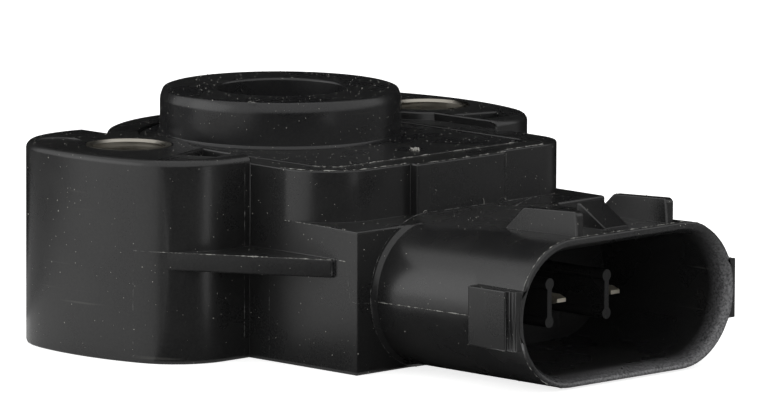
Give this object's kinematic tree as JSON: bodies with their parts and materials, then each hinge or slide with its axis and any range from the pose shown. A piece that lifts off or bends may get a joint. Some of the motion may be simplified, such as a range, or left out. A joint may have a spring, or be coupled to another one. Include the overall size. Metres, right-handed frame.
{
  "type": "throttle position sensor",
  "caption": "Throttle position sensor with a round locating collar, a flat base, screw ears with steel bushings and a side connector socket with a latch.",
  "frame": {"origin": "on the axis of the locating collar, in the plane of the flat base", "axes": "+Z along the collar axis away from the base, +X towards the short ear's screw hole, -Y towards the connector's mouth"},
  "size_m": [0.0506, 0.0596, 0.0217],
  "materials": {
    "housing_plastic": "semi-gloss black glass-filled moulding",
    "cover_plastic": "semi-gloss black moulding",
    "sealant": "dark cured sealant",
    "bushing_steel": "machined",
    "terminal_tin": "tin plated",
    "board": "ceramic-coloured substrate",
    "carbon_ink": "printed carbon film",
    "silver_ink": "printed silver film",
    "solder": "bright solder",
    "rotor_plastic": "black moulding",
    "contact_metal": "sprung contact alloy",
    "seal_rubber": "smooth rubber",
    "spring_steel": "spring steel"
  },
  "bodies": {
    "housing": {"housing": "housing_plastic", "collar_cover": "cover_plastic", "cover_seal": "sealant", "left_bushing": "bushing_steel", "right_bushing": "bushing_steel", "terminal_1": "terminal_tin", "terminal_2": "terminal_tin", "terminal_3": "terminal_tin", "element_board": "board", "resistive_track": "carbon_ink", "collector_track": "silver_ink", "trace_1": "silver_ink", "trace_2": "silver_ink", "trace_3": "silver_ink", "solder_1": "solder", "solder_2": "solder", "solder_3": "solder", "return_spring": "spring_steel"},
    "rotor": {"rotor": "rotor_plastic", "wiper_contact": "contact_metal", "shaft_seal": "seal_rubber", "drive_clip": "spring_steel"}
  },
  "joints": [
    {"name": "rotor_turn", "type": "hinge", "parent": "housing", "child": "rotor", "pos_m": [0, 0, 0.012], "axis": [0, 0, 1], "range_deg": [0, 110], "stiffness_Nm_per_rad": 0.01, "springref_deg": -28.65, "deforming": ["return_spring"]}
  ]
}
